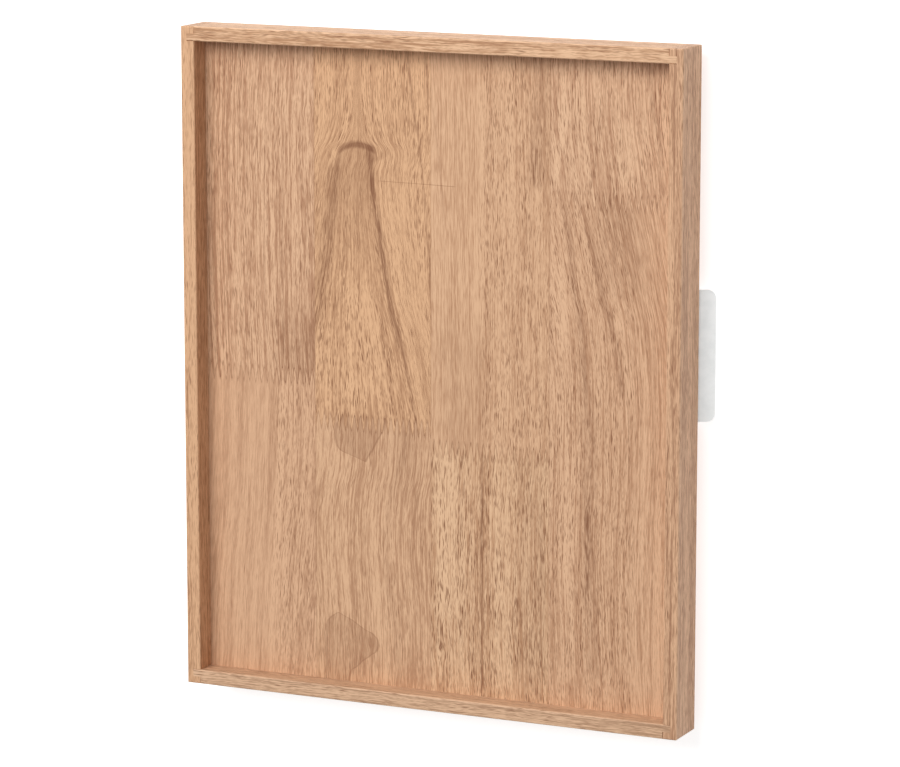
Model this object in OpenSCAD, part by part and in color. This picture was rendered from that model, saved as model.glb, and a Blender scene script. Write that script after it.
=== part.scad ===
// Wooden serving tray: a finger-jointed board held in a grooved frame, with two bent
// steel lip grips and four screwed-on rubber feet under it.
// X runs across the tray, Y along it, Z up. The origin is on the table, under its centre.

/* [Tray] */
// Length over the side walls
tray_l = 500; // [340:5:700]
// Width over the side walls
tray_w = 400; // [300:5:600]
// Thickness of the side and end walls
wall_t = 11; // [9:0.5:18]
// Height of the walls, from underside to rim
wall_h = 36; // [26:1:70]
// Thickness of the floor board, which is flush with the underside of the walls
board_t = 18; // [12:1:24]
// Radius of the sanded arrises on the walls
arris_r = 1.2; // [0.4:0.1:2]

/* [Floor board] */
// Width of the first lamella column, the trimmed one at the left-hand wall
edge_stave_w = 90; // [60:1:95]
// Width of the second and third columns; the fourth takes what is left
stave_w = 95; // [60:1:95]
// Distance from one finger tip to the next
finger_pitch = 5; // [3:0.5:8]
// Length of a finger, from tip to root
finger_l = 11; // [6:0.5:15]
// Width of the blunt tip of a finger
finger_tip = 0.8; // [0.4:0.1:1.2]

/* [Frame joints] */
// Thickness of the tongue on the edges of the board
tongue_t = 6; // [4:0.5:8]
// Reach of the board's tongue into the walls
tongue_l = 4.5; // [3:0.5:5]
// Room left beyond the tongue for glue and for the board to swell
groove_gap = 0.5; // [0.2:0.1:1]
// Thickness of the corner tongue at the ends of the end walls
lock_t = 5.5; // [4:0.5:6]
// Reach of the corner tongue into the side walls
lock_d = 6; // [4:0.5:7]

/* [Grips] */
// Thickness of the steel sheet
sheet_t = 2; // [1.5:0.25:3]
// Length of a grip along the side of the tray
grip_l = 96; // [90:2:140]
// Reach of the lip, from the foot of the side wall to its edge
lip_l = 12; // [8:1:20]
// Downward slope of the lip
lip_angle = 25; // [10:1:35]
// Inside radius of the bend
bend_r = 2.5; // [1:0.5:4]
// Reach of the leaf in under the tray
leaf_w = 34; // [28:1:45]
// Radius of the grip's corners
grip_corner_r = 6; // [3:0.5:8]
// Distance of the grips from the middle of the tray's length, towards the far end
grip_at = 26; // [-40:1:40]
// Distance between the two screws of a grip
grip_screw_span = 54; // [40:1:62]
// Distance of those screws from the outer face of the side wall
grip_screw_inset = 23; // [20:1:26]

/* [Feet] */
// Height of the feet
foot_h = 10; // [10:0.5:16]
// Radius of a foot where it meets the board
foot_r = 11; // [9:0.5:14]
// Distance of a foot's centre from the outer faces
foot_inset = 32; // [28:1:60]

/* [Screws] */
// Radius of the screws' shanks
screw_r = 1.75; // [1.5:0.25:2]
// Radius of the screws' heads
head_r = 3.5; // [3:0.25:3.5]
// Reach of the screws into the board
screw_bite = 11; // [8:0.5:11]
// Clearance round a shank or head in the piece that it holds
screw_fit = 0.15; // [0.1:0.05:0.3]

/* [Hidden] */
$fn = 48;
// Overshoot of a cut past the face that it starts from
cut = 1;

half_l = tray_l / 2;
half_w = tray_w / 2;
inner_l = tray_l - 2 * wall_t;
inner_w = tray_w - 2 * wall_t;
tongue_z = foot_h + (board_t - tongue_t) / 2;
groove_d = tongue_l + groove_gap;

// Seams between the four columns, and where along the tray each column is end-jointed
seams = [
    -inner_w / 2,
    -inner_w / 2 + edge_stave_w,
    -inner_w / 2 + edge_stave_w + stave_w,
    -inner_w / 2 + edge_stave_w + 2 * stave_w,
    inner_w / 2
];
joint_at = [-10, -41, -55, 136];

// Feet: taper, bottom edge, and the well that hides washer and screw head
foot_taper = 1.5;
foot_edge = 1;
well_depth = 5.5;
washer_t = 0.8;
pan_h = 2.2;
well_r = head_r + 1.3;
washer_r = head_r + 1;
foot_x = half_w - foot_inset;
foot_y = half_l - foot_inset;

// Screws: point, cross recess and the cone of the countersunk head
point_l = 3;
recess_w = 0.9;
recess_depth = 1.1;
cone_h = head_r - screw_r;
grip_screw_x = half_w - grip_screw_inset;

// The bend starts short of the wall's face, so that the lip's top would meet the
// underside exactly at that face if the bend were sharp
bend_setback = (bend_r + sheet_t) * tan(lip_angle / 2);
bend_x = half_w - bend_setback;

wood_a = "#cfa07c";
wood_b = "#c69672";
wood_rim = "#d3a580";
steel_grey = "#dcdddc";

// Points of an arc about a centre, in equal steps of at most the given angle
function arc(centre, r, from, to, step = 15) =
    let (count = ceil(abs(to - from) / step))
    [
        for (i = [0 : count])
            let (a = from + (to - from) * i / count)
            centre + r * [cos(a), sin(a)]
    ];

// The zig-zag line of one finger joint, from x0 to x1 at the height y. Its end flats
// run on by over_0 and over_1, through the tongues at the board's edges.
function finger_line(x0, x1, y, over_0, over_1) =
    let (
        count = round((x1 - x0) / finger_pitch),
        pitch = (x1 - x0) / count,
        tip = finger_tip / 2,
        low = y - finger_l / 2,
        high = y + finger_l / 2
    )
    concat(
        [[x0 - over_0, low]],
        [for (i = [0 : count - 1], p = [
            [x0 + i * pitch + tip, low],
            [x0 + (i + 0.5) * pitch - tip, high],
            [x0 + (i + 0.5) * pitch + tip, high],
            [x0 + (i + 1) * pitch - tip, low]
        ]) p],
        [[x1 + over_1, low]]
    );

// Mirror a piece to the tray's left-hand side
module left_hand() {
    mirror([1, 0, 0]) children();
}

// Mirror a piece to the tray's near end
module near_end() {
    mirror([0, 1, 0]) children();
}

// ---- Floor board ----

// The whole board with the tongue round its edge
module board_blank() {
    translate([-inner_w / 2, -inner_l / 2, foot_h]) cube([inner_w, inner_l, board_t]);
    translate([-inner_w / 2 - tongue_l, -inner_l / 2, tongue_z])
        cube([inner_w + 2 * tongue_l, inner_l, tongue_t]);
    translate([-inner_w / 2, -inner_l / 2 - tongue_l, tongue_z])
        cube([inner_w, inner_l + 2 * tongue_l, tongue_t]);
}

// Holes that the screws of the grips and feet cut in the board
module pilot_holes() {
    for (x = [-1, 1], y = [-1, 1]) {
        translate([x * foot_x, y * foot_y, foot_h - cut]) cylinder(h = cut + screw_bite - point_l, r = screw_r);
        translate([x * foot_x, y * foot_y, foot_h + screw_bite - point_l])
            cylinder(h = point_l, r1 = screw_r, r2 = 0);
        translate([x * grip_screw_x, grip_at + y * grip_screw_span / 2, foot_h - cut])
            cylinder(h = cut + screw_bite - point_l, r = screw_r);
        translate([x * grip_screw_x, grip_at + y * grip_screw_span / 2, foot_h + screw_bite - point_l])
            cylinder(h = point_l, r1 = screw_r, r2 = 0);
    }
}

// One stave of a column: the far one lies beyond the finger joint, the near one before it
module stave(column, far, tint) {
    x0 = seams[column - 1];
    x1 = seams[column];
    over_0 = column == 1 ? wall_t : 0;
    over_1 = column == 4 ? wall_t : 0;
    end_y = far ? half_l : -half_l;
    outline = concat(
        finger_line(x0, x1, joint_at[column - 1], over_0, over_1),
        [[x1 + over_1, end_y], [x0 - over_0, end_y]]
    );
    color(tint) difference() {
        intersection() {
            board_blank();
            linear_extrude(foot_h + wall_h) polygon(outline);
        }
        pilot_holes();
    }
}

// ---- Walls ----

// Cross-section of a wall: inner face at 0, with the rim's and the outer foot's arrises rounded
module wall_section() {
    polygon(concat(
        [[0, 0]],
        arc([wall_t - arris_r, arris_r], arris_r, -90, 0),
        arc([wall_t - arris_r, wall_h - arris_r], arris_r, 0, 90),
        arc([arris_r, wall_h - arris_r], arris_r, 90, 180)
    ));
}

// A rectangle from the origin with all four corners rounded
module soft_rectangle(size, r) {
    polygon(concat(
        arc([size.x - r, r], r, -90, 0),
        arc([size.x - r, size.y - r], r, 0, 90),
        arc([r, size.y - r], r, 90, 180),
        arc([r, r], r, 180, 270)
    ));
}

// The right-hand wall. Its ends, which show on the tray's end faces, are rounded too.
module right_wall() {
    color(wood_rim) difference() {
        intersection() {
            translate([inner_w / 2, half_l, foot_h]) rotate([90, 0, 0])
                linear_extrude(tray_l) wall_section();
            translate([inner_w / 2 - cut, -half_l, foot_h]) rotate([90, 0, 90])
                linear_extrude(wall_t + 2 * cut) soft_rectangle([tray_l, wall_h], arris_r);
            translate([-half_w, -half_l, foot_h - cut])
                linear_extrude(wall_h + 2 * cut) soft_rectangle([tray_w, tray_l], arris_r);
        }
        // Groove for the board's tongue
        translate([inner_w / 2 - cut, -inner_l / 2, tongue_z])
            cube([groove_d + cut, inner_l, tongue_t]);
        // Dadoes for the corner tongues of the end walls
        for (y = [inner_l / 2, -inner_l / 2 - lock_t])
            translate([inner_w / 2 - cut, y, foot_h - cut])
                cube([lock_d + cut, lock_t, wall_h + 2 * cut]);
    }
}

module left_wall() {
    left_hand() right_wall();
}

// The far end wall, which runs into the side walls with the inner half of its thickness
module far_end_wall() {
    color(wood_rim) difference() {
        translate([-inner_w / 2 - lock_d, inner_l / 2, foot_h]) rotate([90, 0, 90])
            linear_extrude(inner_w + 2 * lock_d) wall_section();
        // Rabbets that leave the corner tongues
        for (x = [-inner_w / 2 - lock_d - cut, inner_w / 2])
            translate([x, inner_l / 2 + lock_t, foot_h - cut])
                cube([lock_d + cut, wall_t, wall_h + 2 * cut]);
        // Groove for the board's tongue
        translate([-inner_w / 2, inner_l / 2 - cut, tongue_z])
            cube([inner_w, groove_d + cut, tongue_t]);
    }
}

module near_end_wall() {
    near_end() far_end_wall();
}

// ---- Grips ----

// Section of a grip across the tray: leaf, bend, and a lip that slopes out and down
module grip_section() {
    bend_centre = [bend_x, foot_h - sheet_t - bend_r];
    lip_way = [cos(lip_angle), -sin(lip_angle)];
    lip_up = [sin(lip_angle), cos(lip_angle)];
    edge = bend_centre + (lip_l - bend_setback) * lip_way;
    polygon(concat(
        [[half_w - leaf_w, foot_h], [half_w - leaf_w, foot_h - sheet_t]],
        arc(bend_centre, bend_r, 90, 90 - lip_angle, 5),
        [edge + bend_r * lip_up, edge + (bend_r + sheet_t) * lip_up],
        arc(bend_centre, bend_r + sheet_t, 90 - lip_angle, 90, 5)
    ));
}

// What is cut away to round the corners of a plate that runs from the origin to reach
// along +X, centred on Y
module corner_offcuts(reach) {
    for (side = [0, 1])
        mirror([0, side, 0])
            translate([reach - grip_corner_r, grip_l / 2 - grip_corner_r, -cut])
                linear_extrude(sheet_t + 2 * cut) difference() {
                    square(grip_corner_r + cut);
                    circle(grip_corner_r);
                }
}

// Clearance hole and countersink for one grip screw, from the leaf's lower face up
module countersink() {
    translate([0, 0, -cut]) cylinder(h = sheet_t + 2 * cut, r = screw_r + screw_fit);
    cylinder(h = cone_h, r1 = head_r + screw_fit, r2 = screw_r + screw_fit);
}

// The right-hand grip, bent from one plate
module right_grip() {
    color(steel_grey) difference() {
        translate([0, grip_at + grip_l / 2, 0]) rotate([90, 0, 0])
            linear_extrude(grip_l) grip_section();
        translate([half_w, grip_at, foot_h - sheet_t]) mirror([1, 0, 0]) corner_offcuts(leaf_w);
        translate([bend_x, grip_at, foot_h - sheet_t - bend_r]) rotate([0, lip_angle, 0])
            translate([0, 0, bend_r]) corner_offcuts(lip_l - bend_setback);
        for (y = [-1, 1])
            translate([grip_screw_x, grip_at + y * grip_screw_span / 2, foot_h - sheet_t])
                countersink();
    }
}

module left_grip() {
    left_hand() right_grip();
}

// The cross that a screwdriver fits, cut up into a head from the origin
module cross_recess() {
    for (turn = [0, 90])
        rotate([0, 0, turn]) translate([-head_r * 0.55, -recess_w / 2, -cut])
            cube([head_r * 1.1, recess_w, recess_depth + cut]);
}

// The four countersunk screws that hold the grips, flush with the leaves' lower faces
module grip_screws() {
    color("silver")
        for (x = [-1, 1], y = [-1, 1])
            translate([x * grip_screw_x, grip_at + y * grip_screw_span / 2, foot_h - sheet_t])
                difference() {
                    union() {
                        cylinder(h = cone_h, r1 = head_r, r2 = screw_r);
                        cylinder(h = sheet_t + screw_bite - point_l, r = screw_r);
                        translate([0, 0, sheet_t + screw_bite - point_l])
                            cylinder(h = point_l, r1 = screw_r, r2 = 0);
                    }
                    cross_recess();
                }
}

// ---- Feet ----

// One rubber foot on the origin, with a well from below and a hole for the screw
module foot() {
    tread_r = foot_r - foot_taper;
    color("#4a4a48") rotate_extrude() polygon([
        [well_r, 0],
        [tread_r - foot_edge, 0],
        [tread_r, foot_edge],
        [foot_r, foot_h],
        [screw_r + screw_fit, foot_h],
        [screw_r + screw_fit, well_depth],
        [well_r, well_depth]
    ]);
}

module far_right_foot() {
    translate([foot_x, foot_y, 0]) foot();
}

module far_left_foot() {
    left_hand() far_right_foot();
}

module near_right_foot() {
    near_end() far_right_foot();
}

module near_left_foot() {
    near_end() far_left_foot();
}

// Steel washers between the screw heads and the rubber
module foot_washers() {
    color("silver")
        for (x = [-1, 1], y = [-1, 1])
            translate([x * foot_x, y * foot_y, well_depth - washer_t])
                difference() {
                    cylinder(h = washer_t, r = washer_r);
                    translate([0, 0, -cut]) cylinder(h = washer_t + 2 * cut, r = screw_r + screw_fit);
                }
}

// Pan-head screws that hold the feet
module foot_screws() {
    head_z = well_depth - washer_t - pan_h;
    shank_l = foot_h + screw_bite - point_l - head_z;
    color("silver")
        for (x = [-1, 1], y = [-1, 1])
            translate([x * foot_x, y * foot_y, head_z])
                difference() {
                    union() {
                        cylinder(h = pan_h, r = head_r);
                        cylinder(h = shank_l, r = screw_r);
                        translate([0, 0, shank_l]) cylinder(h = point_l, r1 = screw_r, r2 = 0);
                    }
                    cross_recess();
                }
}

stave(1, true, wood_b);  // stave_1_far
stave(1, false, wood_a);  // stave_1_near
stave(2, true, wood_a);  // stave_2_far
stave(2, false, wood_b);  // stave_2_near
stave(3, true, wood_b);  // stave_3_far
stave(3, false, wood_a);  // stave_3_near
stave(4, true, wood_a);  // stave_4_far
stave(4, false, wood_b);  // stave_4_near
left_wall();
right_wall();
far_end_wall();
near_end_wall();
left_grip();
right_grip();
grip_screws();
far_left_foot();
far_right_foot();
near_left_foot();
near_right_foot();
foot_washers();
foot_screws();
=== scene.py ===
from math import cos, sin, tau

import bmesh
import bpy
from mathutils import Matrix, Vector


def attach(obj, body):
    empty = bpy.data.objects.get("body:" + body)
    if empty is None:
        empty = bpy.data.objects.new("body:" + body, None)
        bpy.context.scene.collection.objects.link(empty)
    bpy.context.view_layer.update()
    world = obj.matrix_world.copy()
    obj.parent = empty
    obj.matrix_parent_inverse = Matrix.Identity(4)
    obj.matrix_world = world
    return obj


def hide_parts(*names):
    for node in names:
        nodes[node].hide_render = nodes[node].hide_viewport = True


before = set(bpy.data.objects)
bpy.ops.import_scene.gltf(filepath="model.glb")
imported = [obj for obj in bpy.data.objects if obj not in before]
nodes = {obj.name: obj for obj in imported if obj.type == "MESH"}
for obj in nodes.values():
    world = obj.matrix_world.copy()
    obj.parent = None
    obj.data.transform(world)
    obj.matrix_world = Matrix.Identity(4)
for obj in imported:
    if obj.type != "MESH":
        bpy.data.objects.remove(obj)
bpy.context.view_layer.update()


# ---- Board ----
# Eight staves of pale tan hardwood with a pink cast, finger jointed end to end, glued edge to
# edge, planed and oiled. Every stave was cut from a different part of a log, so each is
# described by the run of its grain and by its own marks, all in millimetres.

seams = (-189, -99, -4, 91, 189)
joint_middles = (-10, -41, -55, 136)
finger_pitch = 5.0
finger_length = 11.0
finger_tip = 0.8
marks_gone = 16.0
marks_full = 27.0


def node(tree, kind, sockets=None, **settings):
    """Place a node, set it up, and wire or fill its sockets."""
    made = tree.nodes.new(kind)
    for name, value in settings.items():
        setattr(made, name, value)
    for name, value in (sockets or {}).items():
        if isinstance(value, bpy.types.NodeSocket):
            tree.links.new(value, made.inputs[name])
        else:
            made.inputs[name].default_value = value
    return made


def maths(tree, operation, *values):
    """One Math node; numbers and sockets both serve as values."""
    return node(tree, "ShaderNodeMath", dict(enumerate(values)), operation=operation).outputs[0]


def vector_maths(tree, operation, first, second):
    """One Vector Math node on two vectors."""
    return node(tree, "ShaderNodeVectorMath", {0: first, 1: second}, operation=operation).outputs[0]


def noise(tree, vector, across, along, detail=2.0, roughness=0.5):
    """Noise whose grain is this many millimetres across and along the fibres."""
    place = vector_maths(tree, "MULTIPLY", vector, (1 / across, 1 / along, 1 / across))
    return node(tree, "ShaderNodeTexNoise", {
        "Vector": place, "Scale": 1.0, "Detail": detail, "Roughness": roughness,
    }).outputs["Fac"]


def eased(tree, value, start, end, low=0.0, high=1.0):
    """Low where the value is at start, high where it is at end, with an eased change between."""
    return node(tree, "ShaderNodeMapRange", {
        "Value": value, "From Min": start, "From Max": end, "To Min": low, "To Max": high,
    }, interpolation_type="SMOOTHSTEP").outputs["Result"]


def straight(tree, value, start, end, low=0.0, high=1.0):
    """Low where the value is at start, high where it is at end, in a straight line between."""
    return node(tree, "ShaderNodeMapRange", {
        "Value": value, "From Min": start, "From Max": end, "To Min": low, "To Max": high,
    }).outputs["Result"]


def blended(tree, share, first, second):
    """First colour where the share is 0, second where it is 1."""
    mix = tree.nodes.new("ShaderNodeMix")
    mix.data_type = "RGBA"
    for place, value in ((0, share), (6, first), (7, second)):
        if isinstance(value, bpy.types.NodeSocket):
            tree.links.new(value, mix.inputs[place])
        else:
            mix.inputs[place].default_value = value
    return mix.outputs[2]


def srgb(red, green, blue):
    """A colour matched on a 0 to 255 scale, in the shader's own terms."""
    return tuple(((level / 255 + 0.055) / 1.055) ** 2.4 for level in (red, green, blue)) + (1.0,)


def shared_group(name, inputs, outputs):
    """A shader node group with these sockets; hands back the group, what comes in, and the way out."""
    group = bpy.data.node_groups.new(name, "ShaderNodeTree")
    for label, (kind, value) in inputs.items():
        socket = group.interface.new_socket(name=label, in_out="INPUT", socket_type="NodeSocket" + kind)
        if value is not None:
            socket.default_value = value
    for label, kind in outputs.items():
        group.interface.new_socket(name=label, in_out="OUTPUT", socket_type="NodeSocket" + kind)
    return group, group.nodes.new("NodeGroupInput").outputs, group.nodes.new("NodeGroupOutput")


def placed(tree, group, sockets):
    """A group node with its sockets wired or filled."""
    return node(tree, "ShaderNodeGroup", sockets, node_tree=group).outputs


def new_finish(name):
    """An empty material with a Principled shader; hands back the material, its tree and the shader."""
    material = bpy.data.materials.new(name)
    material.use_nodes = True
    return material, material.node_tree, material.node_tree.nodes["Principled BSDF"]


def wear(piece, material):
    """Give a piece this finish and no other."""
    piece.data.materials.clear()
    piece.data.materials.append(material)


# Open pores: short dashes along the fibres, each one cell of a stretched pattern
pore_dashes, given, out = shared_group(
    "pore_dashes",
    {
        "Grain": ("Vector", None),
        "Across": ("Float", 1.2),
        "Along": ("Float", 11.0),
        "Size": ("Float", 0.3),
    },
    {"Mask": "Float"},
)
stretch = node(pore_dashes, "ShaderNodeCombineXYZ", {
    "X": maths(pore_dashes, "DIVIDE", 1.0, given["Across"]),
    "Y": maths(pore_dashes, "DIVIDE", 1.0, given["Along"]),
    "Z": maths(pore_dashes, "DIVIDE", 1.0, given["Across"]),
}).outputs[0]
cells = vector_maths(pore_dashes, "MULTIPLY", given["Grain"], stretch)
nearest = node(pore_dashes, "ShaderNodeTexVoronoi", {"Vector": cells, "Scale": 1.0}).outputs["Distance"]
pore_core = maths(pore_dashes, "MULTIPLY", given["Size"], 0.3)
open_pore = eased(pore_dashes, nearest, given["Size"], pore_core)
pore_dashes.links.new(open_pore, out.inputs["Mask"])

# The timber itself: broad bands, fine lines, fibres and pores over a light and a dark colour
timber, given, out = shared_group(
    "timber",
    {
        "Grain": ("Vector", None),
        "Light": ("Color", srgb(228, 182, 141)),
        "Dark": ("Color", srgb(184, 138, 103)),
        "Pore": ("Color", srgb(138, 92, 64)),
        "Bands": ("Float", 0.5),
        "Lines": ("Float", 0.5),
        "Fibre": ("Float", 1.0),
        "Pores": ("Float", 0.8),
        "Pore size": ("Float", 0.38),
        "Shade": ("Float", 0.0),
        "Glow": ("Float", 0.0),
    },
    {"Color": "Color", "Roughness": "Float", "Height": "Float"},
)
grain = given["Grain"]
band = eased(timber, noise(timber, grain, across=13, along=600), 0.38, 0.62)
line = eased(timber, noise(timber, grain, across=1.9, along=150, roughness=0.6), 0.46, 0.68)
strand = maths(timber, "SUBTRACT", noise(timber, grain, across=0.8, along=13, roughness=0.6), 0.5)
hair = maths(timber, "SUBTRACT", noise(timber, grain, across=0.75, along=60, roughness=0.6), 0.5)
clump = eased(timber, noise(timber, grain, across=7, along=60), 0.38, 0.58, low=0.1, high=1.0)

pore_contrast = 1.15
fine_pore_share = 0.5
fine_pore_shift = (31.0, 17.0, 5.0)
coarse = placed(timber, pore_dashes, {
    "Grain": grain, "Across": 0.85, "Along": 12.0, "Size": given["Pore size"],
})["Mask"]
fine = placed(timber, pore_dashes, {
    "Grain": vector_maths(timber, "ADD", grain, fine_pore_shift),
    "Across": 0.65, "Along": 6.5, "Size": given["Pore size"],
})["Mask"]
coarse = maths(timber, "MULTIPLY", coarse, clump)
fine = maths(timber, "MULTIPLY", fine, fine_pore_share)
pores = maths(timber, "MAXIMUM", coarse, fine)
pores = maths(timber, "MULTIPLY", pores, maths(timber, "MULTIPLY", given["Pores"], pore_contrast))

strand_contrast = 3.7
hair_contrast = 2.7
least_depth = 0.1
glow_lift = -0.7
shade_share = 0.75
depth = maths(timber, "MULTIPLY_ADD", band, given["Bands"], maths(timber, "MULTIPLY", line, given["Lines"]))
strands = maths(timber, "MULTIPLY", strand, given["Fibre"])
depth = maths(timber, "MULTIPLY_ADD", strands, strand_contrast, depth)
hairs = maths(timber, "MULTIPLY", hair, given["Fibre"])
depth = maths(timber, "MULTIPLY_ADD", hairs, hair_contrast, depth)
lift = maths(timber, "MULTIPLY_ADD", given["Glow"], glow_lift, least_depth)
depth = maths(timber, "ADD", depth, lift)

tone = blended(timber, depth, given["Light"], given["Dark"])
tone = blended(timber, maths(timber, "MULTIPLY", given["Shade"], shade_share), tone, given["Pore"])
tone = blended(timber, pores, tone, given["Pore"])
roughness = maths(timber, "MULTIPLY_ADD", pores, 0.2, 0.5)
height = maths(timber, "SUBTRACT", maths(timber, "MULTIPLY", strand, 0.6), pores)
timber.links.new(tone, out.inputs["Color"])
timber.links.new(roughness, out.inputs["Roughness"])
timber.links.new(height, out.inputs["Height"])


def lie(tree):
    """Where a point is, in millimetres: the vector, and its three coordinates."""
    place = tree.nodes.new("ShaderNodeTexCoord").outputs["Object"]
    place = vector_maths(tree, "MULTIPLY", place, (1000.0, 1000.0, 1000.0))
    across, along, height = node(tree, "ShaderNodeSeparateXYZ", {0: place}).outputs
    return place, across, along, height


def trace(tree, along, points):
    """How far across the board a line lies, at each distance along it, given points (across, along)."""
    points = sorted(points, key=lambda point: point[1])
    start = points[0][1]
    end = points[-1][1]
    margin = 2
    least = min(x for x, y in points) - margin
    most = max(x for x, y in points) + margin
    curve = node(tree, "ShaderNodeFloatCurve", {"Value": straight(tree, along, start, end)})
    track = curve.mapping.curves[0]
    spots = [((y - start) / (end - start), (x - least) / (most - least)) for x, y in points]
    track.points[0].location = spots[0]
    track.points[1].location = spots[-1]
    for spot in spots[1:-1]:
        track.points.new(*spot)
    curve.mapping.update()
    return maths(tree, "MULTIPLY_ADD", curve.outputs[0], most - least, least)


def streak(tree, across, along, points, width, strength, fade=14):
    """A mark of this width that follows the points, soft at its sides and faded at both ends."""
    aside = maths(tree, "SUBTRACT", across, trace(tree, along, points))
    aside = maths(tree, "ABSOLUTE", aside)
    mark = eased(tree, aside, width / 2, width / 8, 0.0, strength)
    low = min(y for x, y in points)
    high = max(y for x, y in points)
    mark = maths(tree, "MULTIPLY", mark, eased(tree, along, low, low + fade))
    return maths(tree, "MULTIPLY", mark, eased(tree, along, high, high - fade))


def patch(tree, across, along, left, right, strength, rim, gone=-400.0, full=-300.0):
    """A mark between two traced edges, darker along its rim, gone and then full up the board."""
    soft_width = 1.6
    rim_middle = 0.9
    rim_half_width = 1.3
    rim_core = 0.2
    from_left = maths(tree, "SUBTRACT", across, trace(tree, along, left))
    from_right = maths(tree, "SUBTRACT", trace(tree, along, right), across)
    inside = maths(tree, "MINIMUM", from_left, from_right)
    body = eased(tree, inside, 0.0, soft_width, 0.0, strength)
    off_rim = maths(tree, "ABSOLUTE", maths(tree, "SUBTRACT", inside, rim_middle))
    border = eased(tree, off_rim, rim_half_width, rim_core, 0.0, rim)
    mark = maths(tree, "ADD", body, border)
    return maths(tree, "MULTIPLY", mark, eased(tree, along, gone, full))


def swirl(tree, across, along, centre, size):
    """Grain pushed aside round a small knot: how far to shift it, and how dark the knot is."""
    squash = 0.7
    reach = size * 2.2
    shove = -0.8
    ring_radius = size * 0.55
    ring_half_width = size * 0.4
    ring_dark = 0.14
    east = maths(tree, "SUBTRACT", across, centre[0])
    north = maths(tree, "SUBTRACT", along, centre[1])
    north = maths(tree, "MULTIPLY", north, squash)
    east_squared = maths(tree, "MULTIPLY", east, east)
    north_squared = maths(tree, "MULTIPLY", north, north)
    far = maths(tree, "SQRT", maths(tree, "ADD", east_squared, north_squared))
    near = eased(tree, far, reach, 0.0)
    near = maths(tree, "MULTIPLY", near, near)
    push = maths(tree, "MULTIPLY", near, maths(tree, "MULTIPLY", east, shove))
    off_ring = maths(tree, "ABSOLUTE", maths(tree, "SUBTRACT", far, ring_radius))
    return push, eased(tree, off_ring, ring_half_width, 0.0, 0.0, ring_dark)


def glue_line(tree, across, along, column):
    """The thin dark zig-zag where the two staves of a column meet."""
    line_reach = 2.6
    line_core = 0.5
    line_dark = 0.5
    left = seams[column]
    right = seams[column + 1]
    middle = joint_middles[column]
    fingers = round((right - left) / finger_pitch)
    half_pitch = (right - left) / fingers / 2
    flat = finger_tip / 2
    swing = maths(tree, "PINGPONG", maths(tree, "SUBTRACT", across, left), half_pitch)
    zigzag = straight(
        tree, swing, flat, half_pitch - flat, middle - finger_length / 2, middle + finger_length / 2)
    gap = maths(tree, "ABSOLUTE", maths(tree, "SUBTRACT", along, zigzag))
    return eased(tree, gap, line_reach, line_core, 0.0, line_dark)


def seam_shadow(tree, across, name):
    """A thin shade down both long edges of a stave."""
    shade_width = 0.8
    shade_core = 0.1
    shade_dark = 0.3
    places = [vertex.co.x * 1000 for vertex in nodes[name].data.vertices]
    from_left = maths(tree, "SUBTRACT", across, min(places))
    from_right = maths(tree, "SUBTRACT", max(places), across)
    from_edge = maths(tree, "MINIMUM", from_left, from_right)
    return eased(tree, from_edge, shade_width, shade_core, 0.0, shade_dark)


def opened(tree, across, along, edges):
    """Shift for grain that opens between two traced edges and closes up again outside them."""
    closing = 35.0
    crowding = 30.0
    left = trace(tree, along, edges[0])
    right = trace(tree, along, edges[1])
    half = maths(tree, "MULTIPLY", maths(tree, "SUBTRACT", right, left), 0.5)
    middle = maths(tree, "SUBTRACT", across, maths(tree, "ADD", left, half))
    off_middle = maths(tree, "ABSOLUTE", middle)
    outside = maths(tree, "SUBTRACT", off_middle, half)
    pushed = maths(tree, "MULTIPLY", half, eased(tree, outside, 0.0, closing))
    beyond = maths(tree, "MAXIMUM", maths(tree, "ADD", outside, pushed), 0.0)
    within = maths(tree, "DIVIDE", off_middle, maths(tree, "MAXIMUM", half, 1.0))
    within = maths(tree, "MULTIPLY", maths(tree, "MINIMUM", within, 1.0), crowding)
    return maths(tree, "MULTIPLY", maths(tree, "ADD", within, beyond), maths(tree, "SIGN", middle))


def wandering(tree, grain, seed, sway, ripple):
    """Grain from its own part of the log, bent by slow and quick noise: (across, along, reach) each."""
    apart = (137.1 * seed, 911.7 * seed, 53.3 * seed)
    grain = vector_maths(tree, "ADD", grain, apart)
    bends = []
    for across, along, reach in (sway, ripple):
        bends.append(maths(tree, "MULTIPLY_ADD", noise(tree, grain, across, along), 2 * reach, -reach))
    bend = node(tree, "ShaderNodeCombineXYZ", {"X": maths(tree, "ADD", *bends)}).outputs[0]
    return vector_maths(tree, "ADD", grain, bend)


def summed(tree, values):
    """All the values added together."""
    total = values[0]
    for value in values[1:]:
        total = maths(tree, "ADD", total, value)
    return total


def dashed_lines(tree, grain, across, along, marks):
    """Streaks broken into dashes, as open pores break a dark line."""
    dashes = eased(tree, noise(tree, grain, across=1.1, along=15), 0.34, 0.60, low=0.25, high=1.25)
    lines = summed(tree, [streak(tree, across, along, *mark) for mark in marks])
    return maths(tree, "MULTIPLY", lines, dashes)


def timber_sockets(tree, across, settings):
    """Settings as the timber group's sockets; (start, end, low, high) changes a number across it."""
    sockets = {}
    for name, value in settings.items():
        label = name.replace("_", " ").capitalize()
        if isinstance(value, tuple) and label not in ("Light", "Dark", "Pore"):
            value = eased(tree, across, *value)
        sockets[label] = value
    return sockets


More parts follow.
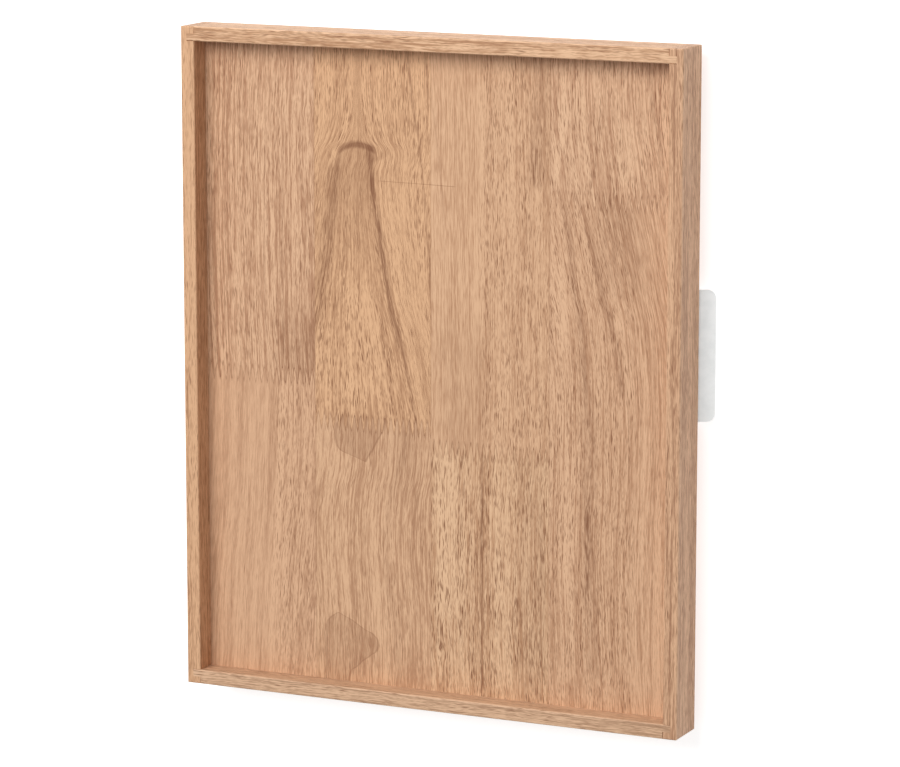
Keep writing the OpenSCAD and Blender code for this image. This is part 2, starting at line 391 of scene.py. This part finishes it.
def oiled(material, tree, shader, sockets):
    """Join a timber surface to the shader as thin oiled wood."""
    surface = placed(tree, timber, sockets)
    bump = node(tree, "ShaderNodeBump", {
        "Height": surface["Height"], "Strength": 0.3, "Distance": 0.0002,
    })
    tree.links.new(surface["Color"], shader.inputs["Base Color"])
    tree.links.new(surface["Roughness"], shader.inputs["Roughness"])
    tree.links.new(bump.outputs["Normal"], shader.inputs["Normal"])
    shader.inputs["Specular IOR Level"].default_value = 0.3
    return material


def stave(name, column, seed, run, dark_marks=(), pale_marks=(), caps=(), patches=(), knots=(),
          spread=None, wander=3.0, **settings):
    """Finish one stave: the run of its grain, its dark and pale marks, and its knots.

    The run is a traced line that the fibres follow. A stave with a spread has none: its grain
    opens between a pair of traced edges, as in the arch cut from the outside of a log. Dark and
    pale marks are (points, width, strength), with the length of the fade where it isn't the
    usual one. Caps are such marks laid across the stave. Patches are (left edge, right edge,
    strength, rim) and knots are (centre, size).
    """
    fray_reach = 1.2
    material, tree, shader = new_finish(name)
    place, across, along, height = lie(tree)
    if spread:
        shift = opened(tree, across, along, spread)
    else:
        shift = maths(tree, "SUBTRACT", across, trace(tree, along, run))
    shades = []
    for centre, size in knots:
        push, ring = swirl(tree, across, along, centre, size)
        shift = maths(tree, "ADD", shift, push)
        shades.append(ring)
    grain = node(tree, "ShaderNodeCombineXYZ", {"X": shift, "Y": along, "Z": height}).outputs[0]
    grain = wandering(tree, grain, seed, sway=(45, 150, wander), ripple=(7, 30, 0.6))

    fray = noise(tree, grain, across=2.0, along=9)
    fray = maths(tree, "MULTIPLY_ADD", fray, 2 * fray_reach, -fray_reach)
    frayed = maths(tree, "ADD", across, fray)
    if dark_marks:
        shades.append(dashed_lines(tree, grain, frayed, along, dark_marks))
    for mark in patches:
        shades.append(patch(tree, frayed, along, *mark))
    for mark in caps:
        shades.append(streak(tree, along, frayed, *mark))
    shades.append(seam_shadow(tree, across, name))
    shades.append(glue_line(tree, across, along, column))
    broken = maths(tree, "MULTIPLY_ADD", noise(tree, grain, across=0.9, along=18), 1.4, 0.3)
    shade = maths(tree, "MULTIPLY", summed(tree, shades), eased(tree, height, marks_gone, marks_full))

    sockets = {"Grain": grain, "Shade": maths(tree, "MULTIPLY", shade, broken)}
    if pale_marks:
        sockets["Glow"] = summed(tree, [streak(tree, frayed, along, *mark) for mark in pale_marks])
    sockets.update(timber_sockets(tree, across, settings))
    wear(nodes[name], oiled(material, tree, shader, sockets))


# Far left: straight lines, with a darker patch above the finger joint and a pin knot
stave(
    "stave_1_far", 0, 1.0, [(-145, 240), (-147, 120), (-143, -20)],
    dark_marks=[
        ([(-112, 62), (-115, -64)], 54, 0.42, 50),
        ([(-160, 236), (-161, 150)], 2.4, 0.35),
        ([(-138, 200), (-141, 90), (-139, 10)], 2.2, 0.35),
        ([(-124, 180), (-126, 60), (-124, -20)], 2.4, 0.35),
    ],
    knots=[((-104, 189), 4.0)],
    bands=0.4, lines=0.75, pores=0.85, light=srgb(227, 184, 148), dark=srgb(184, 138, 106),
)

# Near left: quiet and pink on its left, with a pale slanting streak and dashes on its right
stave(
    "stave_1_near", 0, 2.0, [(-128, 0), (-132, -90), (-140, -190), (-143, -245)],
    pale_marks=[([(-124, 0), (-128, -78), (-132, -140), (-136, -194), (-139, -250)], 7, 0.9)],
    bands=0.4, lines=0.4, pores=(-138.0, -128.0, 0.35, 0.95), fibre=(-138.0, -126.0, 0.5, 1.0),
    light=srgb(224, 180, 144), dark=srgb(186, 141, 109),
)

# Second far: the arch of a flat-sawn face, with a dark cap, a brown crown and two long flanks
stave(
    "stave_2_far", 1, 3.0, None,
    spread=(
        [(-66, 204), (-68, 186), (-73, 171), (-80, 160), (-83, 148), (-88, 118), (-91, 88), (-96, 58),
         (-102, 18), (-108, -45)],
        [(-60, 204), (-58, 186), (-54, 171), (-48, 160), (-50, 146), (-47, 110), (-42, 84), (-38, 58),
         (-28, 22), (-15, -45)],
    ),
    dark_marks=[
        ([(-54, 170), (-52, 146), (-50, 132), (-46, 108), (-42.5, 84), (-38, 58), (-34, 36), (-29, 12)],
         7.0, 0.8),
        ([(-33, 42), (-28, 22), (-23.5, 0), (-19.5, -18), (-14, -50)], 3.4, 0.7),
        ([(-80, 162), (-84, 140), (-87, 112), (-90, 84), (-94, 56), (-100, 22)], 17, 0.6),
        ([(-15, 190), (-11, 150), (-8, 118), (-5.5, 84), (-4, 50)], 3.0, 0.55),
        ([(-24, 245), (-19, 205), (-14, 170)], 3.2, 0.6),
        ([(-9, 245), (-5, 195)], 2.6, 0.5),
    ],
    pale_marks=[
        ([(-40, 150), (-32, 110), (-26, 70), (-18, 30)], 16, 0.45),
        ([(-64, 70), (-62, 20), (-62, -30)], 44, 0.45),
    ],
    caps=[
        ([(156, -82), (162, -78), (166, -71), (167, -63), (165.6, -55), (163.6, -50), (160, -46)],
         8, 0.8, 5),
        ([(140.9, -48), (140.4, 0)], 0.9, 0.5, 2),
    ],
    patches=[
        ([(-64, 168.5), (-71, 167), (-76, 164), (-80, 159), (-82, 150), (-86, 120), (-89, 95), (-93, 60)],
         [(-62, 168.5), (-55, 167.5), (-50, 164.5), (-48, 158), (-50, 148), (-49, 132), (-46, 108),
          (-42, 84), (-38, 60)],
         0.30, 0.0, 62.0, 140.0),
    ],
    knots=[((-72, 133), 4.5)], wander=0.9,
    bands=0.35, lines=0.4, pores=1.15, fibre=0.85,
)

# Second near: two heart-shaped patches with a rim, and lines that lean in from the right
stave(
    "stave_2_near", 1, 4.0,
    [(-28, -30), (-30, -72), (-34, -95), (-36, -125), (-35, -160), (-33, -190), (-32, -245)],
    dark_marks=[
        ([(-21, -20), (-24, -48), (-29, -72), (-36, -92), (-40, -118), (-41, -142), (-38, -166),
          (-33, -188), (-31, -212), (-31, -250)], 8, 0.22),
        ([(-3, -45), (-9, -75), (-18, -112), (-22, -150)], 3, 0.25),
        ([(-23, -16), (-26, -110)], 46, 0.22, 26),
    ],
    pale_marks=[([(-50, -150), (-48, -180), (-44, -215)], 10, 0.4)],
    patches=[
        ([(-74, -20), (-75.5, -32), (-79, -38), (-82.3, -44), (-83.5, -49), (-83, -56), (-81, -60.8),
          (-79, -62.8), (-70, -66), (-58.5, -70), (-56, -71)],
         [(-40, -20), (-40.4, -34), (-42, -44), (-44.5, -49), (-48.4, -56), (-51.2, -61), (-54.5, -66),
          (-56.8, -70), (-58, -71)],
         0.34, 0.40),
        ([(-80, -186.5), (-84, -188.4), (-88.5, -192), (-90.8, -196), (-91.3, -204), (-91.8, -218),
          (-92, -250)],
         [(-81, -186.5), (-76, -188.6), (-68, -192), (-58, -198), (-50.8, -201), (-46.6, -206.8),
          (-47.2, -212), (-53.6, -218), (-60, -223), (-65.2, -228), (-69.2, -231), (-70, -250)],
         0.28, 0.38),
    ],
    knots=[((-78, -52), 4.0), ((-54, -208), 4.0)],
    bands=0.3, lines=0.75, pores=0.55, fibre=1.15, light=srgb(224, 181, 144), dark=srgb(187, 142, 109),
)

# Third far: smooth on the left of a pale band, open-pored on its right, dark by the far seam
stave(
    "stave_3_far", 2, 5.0, [(40, 240), (42, 150), (44, 40), (43, -60)],
    dark_marks=[
        ([(83, 254), (82, 190), (80, 136)], 24, 0.4),
        ([(79, 182), (78, 138)], 6, 0.5),
        ([(-6, 220), (1, 172), (6, 124), (7, 80)], 1.8, 0.3),
        ([(72, 130), (72, 104)], 5, 0.3),
        ([(68, 245), (69, 200)], 2.4, 0.35),
        ([(20, 60), (20, -90)], 60, 0.2, 50),
    ],
    pale_marks=[([(37, 225), (35, 130), (34, 20)], 12, 0.55)],
    caps=[([(140.5, -8), (140.0, 17)], 0.9, 0.6, 3)],
    knots=[((82.4, 144.4), 3.0)],
    bands=0.25, lines=0.4, pores=(32.0, 42.0, 0.25, 1.15), fibre=0.8,
    light=srgb(225, 182, 145), dark=srgb(188, 142, 108),
)

# Third near: pale with coarse open pores, one unbroken dark line, and a dark band on the right
stave(
    "stave_3_near", 2, 6.0, [(44, -50), (43, -130), (46, -245)],
    dark_marks=[
        ([(37.6, -46), (37.4, -130), (38, -254)], 3.0, 0.85),
        ([(76, -46), (77, -120), (76, -254)], 32, 0.24),
        ([(20, -60), (20, -150), (19, -250)], 1.6, 0.25),
        ([(85, -90), (86, -140), (86, -225)], 7, 0.28),
    ],
    pale_marks=[
        ([(8, -34), (9, -190)], 22, 0.5),
        ([(48, -60), (49, -240)], 12, 0.3),
    ],
    knots=[((3.2, -208.8), 5.0)],
    bands=0.3, lines=0.6, pores=1.2, pore_size=0.44, fibre=0.75,
    light=srgb(230, 189, 151), dark=srgb(188, 142, 107),
)

# Fourth far: a short length with a wavy pale streak and dark streaks down its right side
stave(
    "stave_4_far", 3, 7.0, [(140, 240), (141, 200), (146, 160), (150, 130)],
    dark_marks=[
        ([(166, 245), (170, 207), (175, 181), (178, 130)], 7, 0.34),
        ([(184, 245), (185, 190), (186, 140)], 5, 0.3),
        ([(130, 204), (126, 166), (122, 140)], 3, 0.35),
    ],
    pale_marks=[
        ([(101.2, 240), (101.5, 195), (98, 171.6), (94.4, 140)], 6, 0.9),
        ([(150, 200), (152, 140)], 26, 0.4),
    ],
    bands=0.3, lines=0.6, pores=1.1, fibre=0.75, light=srgb(228, 186, 150), dark=srgb(186, 140, 108),
)

# Fourth near: wandering dark lines that bow to the right, quieter towards the right wall
stave(
    "stave_4_near", 3, 8.0,
    [(104, 136), (112, 100), (118, 70), (124, 40), (127, 0), (127, -60), (126, -120), (130, -245)],
    dark_marks=[
        ([(99, 142), (107, 101), (109.6, 77), (114.4, 54), (117, 30), (119, -10)], 8, 0.5),
        ([(112, 142), (122, 108), (133, 66), (142, 35), (150, -15)], 8, 0.4),
        ([(120, 10), (123, -60), (122, -100), (124, -150), (126, -225)], 19, 0.32),
        ([(121, -75), (121.5, -115), (121, -160)], 5.5, 0.6),
        ([(134, 172), (142, 128), (150, 50)], 56, 0.38, 45),
        ([(152, 40), (154, -60), (155, -230)], 2.0, 0.3),
        ([(172, 60), (173, -60), (172, -230)], 2.0, 0.28),
    ],
    pale_marks=[
        ([(100, 96), (101.4, 60), (103, 22)], 9, 0.7),
        ([(108, -40), (108, -120), (110, -220)], 14, 0.45),
    ],
    bands=0.3, lines=0.7, fibre=0.75, pores=(150.0, 162.0, 1.2, 0.5),
    light=srgb(226, 183, 147), dark=srgb(186, 140, 107),
)


# ---- Walls ----
# Four strips of the same timber, glued round the board. Each end wall runs a tongue into a
# groove near the end of the side wall, so a little end grain shows at every corner. The
# rims' edges carry a painted highlight. The left wall is coloured darker as painted shade
# for its inner face, and its rim is lifted back paler than its sides.

half_width = 200.0
half_length = 250.0
wall_thickness = 11.0
rim_height = 46.0


def strip(name, seed, fibres, dark_marks=(), rim_lift_over_painted_shade=0.0, **settings):
    """Finish a wall strip whose fibres run along the given axis, with a painted highlight along its top
    edges.
    """
    highlight_width = 1.5
    highlight_core = 0.2
    highlight_glow = 1.6
    material, tree, shader = new_finish(name)
    place, across, along, height = lie(tree)
    if fibres == "Y":
        inward = maths(tree, "SUBTRACT", half_width, maths(tree, "ABSOLUTE", across))
    else:
        inward = maths(tree, "SUBTRACT", half_length, maths(tree, "ABSOLUTE", along))
        place = node(tree, "ShaderNodeVectorRotate", {"Vector": place, "Angle": tau / 4},
                     rotation_type="Z_AXIS").outputs[0]
    inward = maths(tree, "MINIMUM", inward, maths(tree, "SUBTRACT", wall_thickness, inward))
    from_edge = maths(tree, "MAXIMUM", inward, maths(tree, "SUBTRACT", rim_height, height))
    grain = wandering(tree, place, seed, sway=(30, 110, 3.5), ripple=(5, 24, 0.7))

    # Painted highlight: the rims' edges made paler, broken up by noise
    painted_highlight = eased(tree, from_edge, highlight_width, highlight_core)
    painted_highlight = maths(tree, "MULTIPLY", painted_highlight, noise(tree, grain, across=2.0, along=25))
    # The rim is lifted paler than a wall whose colours were darkened as painted shade
    rim_above_painted_shade = eased(tree, height, rim_height - 1.2, rim_height - 0.3, 0.0, rim_lift_over_painted_shade)
    sockets = {"Grain": grain, "Glow": maths(tree, "MULTIPLY_ADD", painted_highlight, highlight_glow, rim_above_painted_shade)}
    if dark_marks:
        sockets["Shade"] = dashed_lines(tree, grain, across, along, dark_marks)
    sockets.update(timber_sockets(tree, across, settings))
    wear(nodes[name], oiled(material, tree, shader, sockets))


# The left wall is coloured darker all over as painted shade for its inner face, which faces away from the
# window; its rim is lifted back paler
strip(
    "left_wall", 11.0, "Y", rim_lift_over_painted_shade=0.55,
    pores=0.7, lines=0.6, light=srgb(222, 176, 137), dark=srgb(176, 129, 95),
)
strip(
    "right_wall", 12.0, "Y",
    dark_marks=[
        ([(195, 270), (193.6, 170), (195.4, 90), (194, 10), (196, -70), (194.2, -150), (195.4, -270)],
         2.2, 0.5),
    ],
    pores=0.9, lines=0.7, light=srgb(222, 178, 142), dark=srgb(180, 135, 104),
)
strip("far_end_wall", 13.0, "X", pores=0.8, lines=0.5, light=srgb(232, 190, 153))
strip(
    "near_end_wall", 14.0, "X",
    pores=0.8, lines=0.5, light=srgb(224, 184, 150), dark=srgb(181, 142, 112),
)


# ---- Feet ----
# Four turned rubber feet, each held up into the board by a steel screw over a thin washer.
# The rubber is moulded with a dull skin that has picked up a little dust.

foot_places = {
    "far_left": (-168, 218),
    "far_right": (168, 218),
    "near_left": (-168, -218),
    "near_right": (168, -218),
}
foot_height = 10.0
foot_radius = 11.0
well_radius = 4.8
well_height = 5.5
bore_radius = 1.9
washer_radius = 4.5
washer_bottom = 4.7
shank_radius = 1.75
point_start = 18.0
point_end = 21.0

handling, given, out = shared_group(
    "handling",
    {
        "Place": ("Vector", None),
        "Clean": ("Color", None),
        "Worn": ("Color", None),
        "Grain size": ("Float", 1.0),
    },
    {"Color": "Color", "Roughness": "Float", "Height": "Float"},
)
fine_place = node(handling, "ShaderNodeVectorMath", {
    0: given["Place"], 3: maths(handling, "DIVIDE", 1.0, given["Grain size"]),
}, operation="SCALE").outputs[0]
speck = node(handling, "ShaderNodeTexNoise", {
    "Vector": fine_place, "Scale": 1.0, "Detail": 3.0, "Roughness": 0.6,
}).outputs["Fac"]
cloud = node(handling, "ShaderNodeTexNoise", {
    "Vector": given["Place"], "Scale": 0.12, "Detail": 3.0, "Roughness": 0.55,
}).outputs["Fac"]
cloud = eased(handling, cloud, 0.35, 0.7)
share = maths(handling, "MULTIPLY_ADD", cloud, 0.6, maths(handling, "MULTIPLY", speck, 0.4))
handled = blended(handling, share, given["Clean"], given["Worn"])
handling.links.new(handled, out.inputs["Color"])
handling.links.new(maths(handling, "MULTIPLY_ADD", share, 0.25, 0.4), out.inputs["Roughness"])
handling.links.new(speck, out.inputs["Height"])


def handled_finish(name, clean, worn, grain_size, bump_depth, metallic=0.0):
    """A finish between clean and worn, with a fine skin of this grain and depth."""
    material, tree, shader = new_finish(name)
    surface = placed(tree, handling, {
        "Place": lie(tree)[0], "Clean": clean, "Worn": worn, "Grain size": grain_size,
    })
    bump = node(tree, "ShaderNodeBump", {
        "Height": surface["Height"], "Strength": 0.4, "Distance": bump_depth,
    })
    tree.links.new(surface["Color"], shader.inputs["Base Color"])
    tree.links.new(surface["Roughness"], shader.inputs["Roughness"])
    tree.links.new(bump.outputs["Normal"], shader.inputs["Normal"])
    shader.inputs["Metallic"].default_value = metallic
    return material


def rounded(corners, steps=4):
    """A closed outline from (radius, height, easing) corners, each eased by its own amount."""
    outline = []
    for index, (radius, height, easing) in enumerate(corners):
        corner = Vector((radius, height))
        before = Vector(corners[index - 1][:2]) - corner
        after = Vector(corners[(index + 1) % len(corners)][:2]) - corner
        start = corner + before.normalized() * easing
        end = corner + after.normalized() * easing
        for step in range(steps + 1):
            share = step / steps
            spot = start * (1 - share) ** 2 + corner * 2 * share * (1 - share) + end * share ** 2
            outline.append(tuple(spot))
    return outline


def turned(body, centre, profile, closed=False, segments=64):
    """Spin a profile of (radius, height) round a vertical axis through the centre."""
    rings = []
    for radius, height in profile:
        ring = []
        for step in range(segments if radius > 0 else 1):
            turn = tau * step / segments
            spot = (centre[0] + radius * cos(turn), centre[1] + radius * sin(turn), height)
            ring.append(body.verts.new(spot))
        rings.append(ring)
    following = rings[1:] + (rings[:1] if closed else [])
    for low, high in zip(rings, following):
        for step in range(segments):
            after = (step + 1) % segments
            corners = [low[step % len(low)], low[after % len(low)]]
            corners += [high[after % len(high)], high[step % len(high)]]
            body.faces.new(list(dict.fromkeys(corners)))
    return rings


def screw(body, centre, profile):
    """A screw whose profile starts at the rim of its driving face, with a tapered cross recess."""
    reach = 1.92
    half = 0.45
    depth = 1.1
    taper = 0.8
    face = profile[0][1]
    rings = turned(body, centre, profile, segments=48)
    cross = [
        (reach, -half), (reach, half), (half, half), (half, reach), (-half, reach), (-half, half),
        (-reach, half), (-reach, -half), (-half, -half), (-half, -reach), (half, -reach), (half, -half),
    ]
    mouth = [body.verts.new((centre[0] + x, centre[1] + y, face)) for x, y in cross]
    floor = [
        body.verts.new((centre[0] + taper * x, centre[1] + taper * y, face + depth))
        for x, y in cross
    ]
    rim = [body.edges.get((a, b)) for a, b in zip(rings[0], rings[0][1:] + rings[0][:1])]
    lip = [body.edges.new((a, b)) for a, b in zip(mouth, mouth[1:] + mouth[:1])]
    bmesh.ops.triangle_fill(body, edges=rim + lip, use_beauty=True)
    for step in range(len(cross)):
        after = (step + 1) % len(cross)
        body.faces.new((mouth[step], mouth[after], floor[after], floor[step]))
    body.faces.new(floor)


def finished(body, name, stands_for, finish):
    """Make a piece from a mesh drawn in millimetres and put it in place of a CAD node."""
    bmesh.ops.scale(body, vec=(0.001, 0.001, 0.001), verts=body.verts)
    bmesh.ops.recalc_face_normals(body, faces=body.faces)
    mesh = bpy.data.meshes.new(name)
    body.to_mesh(mesh)
    body.free()
    mesh.polygons.foreach_set("use_smooth", [True] * len(mesh.polygons))
    mesh.set_sharp_from_angle(angle=0.7)
    piece = bpy.data.objects.new(name, mesh)
    bpy.context.scene.collection.objects.link(piece)
    wear(piece, finish)
    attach(piece, "root")
    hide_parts(stands_for)


# The foot's outline, from the rim of its well out over a moulded groove and back down the bore
rubber = handled_finish(
    "foot_rubber", srgb(58, 56, 54), srgb(82, 79, 76), grain_size=0.5, bump_depth=0.00005)
foot_outline = rounded([
    (well_radius, 0, 0.4),
    (8.5, 0, 0.4),
    (9.5, 1, 0.6),
    (10.62, 7.7, 0.1),
    (10.42, 8.0, 0.1),
    (10.5, 8.4, 0.1),
    (10.78, 8.7, 0.1),
    (foot_radius, foot_height, 0.4),
    (bore_radius, foot_height, 0.15),
    (bore_radius, well_height, 0.15),
    (well_radius, well_height, 0.4),
])
for corner, centre in foot_places.items():
    body = bmesh.new()
    turned(body, centre, foot_outline, closed=True)
    finished(body, corner + "_turned_foot", corner + "_foot", rubber)

# Washers with edges softened by the press, and pan heads that bear on them
steel = handled_finish(
    "bright_steel", srgb(196, 197, 200), srgb(160, 161, 165), grain_size=0.35, bump_depth=0.00002,
    metallic=1.0)
washer_outline = rounded([
    (bore_radius, washer_bottom, 0.2),
    (washer_radius, washer_bottom, 0.2),
    (washer_radius, well_height, 0.2),
    (bore_radius, well_height, 0.2),
])
body = bmesh.new()
for centre in foot_places.values():
    turned(body, centre, washer_outline, closed=True)
finished(body, "pressed_washers", "foot_washers", steel)

pan_head = [(2.5, 2.5), (2.9, 2.56), (3.25, 2.8), (3.45, 3.2), (3.5, 3.7), (3.5, 4.55), (3.38, 4.7)]
shank = [(shank_radius, point_start), (0, point_end)]
body = bmesh.new()
for centre in foot_places.values():
    screw(body, centre, pan_head + [(shank_radius, washer_bottom)] + shank)
finished(body, "pan_head_screws", "foot_screws", steel)


# ---- Grips ----
# One bent sheet of steel under each long side, powder coated pale grey, its lip standing out
# past the wall. The coat rounds the cut edges, and two countersunk screws hold each leaf.

grip_middle = 26
grip_screw_across = 177
grip_screw_apart = 54

coat = handled_finish(
    "grip_coat", srgb(244, 246, 246), srgb(232, 235, 235), grain_size=0.4, bump_depth=0.00003)
for name in ("left_grip", "right_grip"):
    wear(nodes[name], coat)
    edge = nodes[name].modifiers.new("coated_edge", "BEVEL")
    edge.width = 0.0004
    edge.segments = 3
    edge.limit_method = "ANGLE"
    edge.angle_limit = 0.9
    edge.harden_normals = True

body = bmesh.new()
for across in (-grip_screw_across, grip_screw_across):
    for along in (grip_middle - grip_screw_apart / 2, grip_middle + grip_screw_apart / 2):
        screw(body, (across, along), [(3.25, 8.0), (3.46, 8.06), (shank_radius, 9.75)] + shank)
finished(body, "countersunk_screws", "grip_screws", steel)


# ---- Table, light and camera ----
# The tray lies on a white sweep under one broad window from the far left. The sweep is lit
# past white, so it throws light back on the outside of the walls. A card fills the grips.

scene = bpy.context.scene
scene.view_settings.view_transform = "Standard"
scene.view_settings.look = "None"

sky = bpy.data.worlds.new("even_sky")
sky.use_nodes = True
sky.node_tree.nodes["Background"].inputs["Color"].default_value = (0.96, 0.98, 1.0, 1.0)
sky.node_tree.nodes["Background"].inputs["Strength"].default_value = 0.42
scene.world = sky

window_distance = 4.0
window_data = bpy.data.lights.new("window", "AREA")
window_data.shape = "DISK"
window_data.size = 2.6
window_data.energy = 121
window_data.color = (1.0, 0.985, 0.965)
window = bpy.data.objects.new("window", window_data)
window.location = Vector((-0.19, 0.50, 0.84)).normalized() * window_distance
window.rotation_euler = (-window.location).to_track_quat("-Z", "Y").to_euler()
scene.collection.objects.link(window)

# The card lights nothing but the two grips
card_place = Vector((0.50, 0.03, 0.16))
card_aim = Vector((0.2, 0.026, 0.0))
card_data = bpy.data.lights.new("card", "AREA")
card_data.shape = "RECTANGLE"
card_data.size = 0.4
card_data.size_y = 0.15
card_data.energy = 0.46
card_data.color = (0.96, 0.99, 1.0)
card = bpy.data.objects.new("card", card_data)
card.location = card_place
card.rotation_euler = (card_place - card_aim).to_track_quat("Z", "Y").to_euler()
scene.collection.objects.link(card)
metalwork = bpy.data.collections.new("lit_by_the_card")
metalwork.objects.link(nodes["left_grip"])
metalwork.objects.link(nodes["right_grip"])
card.light_linking.receiver_collection = metalwork

# Brighter to the eye than to the tray, and clear from below, so that the underside can be seen
half_sweep = 20
sweep_mesh = bpy.data.meshes.new("sweep")
sweep_mesh.from_pydata([
    (-half_sweep, -half_sweep, 0),
    (half_sweep, -half_sweep, 0),
    (half_sweep, half_sweep, 0),
    (-half_sweep, half_sweep, 0),
], [], [(0, 1, 2, 3)])
sweep = bpy.data.objects.new("sweep", sweep_mesh)
scene.collection.objects.link(sweep)
white, tree, shader = new_finish("white_sweep")
shader.inputs["Base Color"].default_value = (0.80, 0.80, 0.80, 1.0)
shader.inputs["Roughness"].default_value = 0.9
shader.inputs["Emission Strength"].default_value = 1.0
seen = tree.nodes.new("ShaderNodeLightPath").outputs["Is Camera Ray"]
glow = blended(tree, seen, (0.40, 0.40, 0.40, 1.0), (0.65, 0.65, 0.65, 1.0))
tree.links.new(glow, shader.inputs["Emission Color"])
underneath = tree.nodes.new("ShaderNodeNewGeometry").outputs["Backfacing"]
tree.links.new(maths(tree, "SUBTRACT", 1.0, underneath), shader.inputs["Alpha"])
wear(sweep, white)

eye = Vector((1.279, 0.5455, 2.7555))
sight = Vector((-0.4145, -0.1802, -0.8920)).normalized()
upward = Vector((-0.0763, 0.9836, -0.1633))
rightward = sight.cross(upward).normalized()
upward = rightward.cross(sight)
turn = Matrix((rightward, upward, -sight)).transposed().to_4x4()
camera_data = bpy.data.cameras.new("camera")
camera_data.sensor_width = 36
camera_data.lens = 166.84
camera = bpy.data.objects.new("camera", camera_data)
camera.matrix_world = Matrix.Translation(eye) @ turn
scene.collection.objects.link(camera)
scene.camera = camera
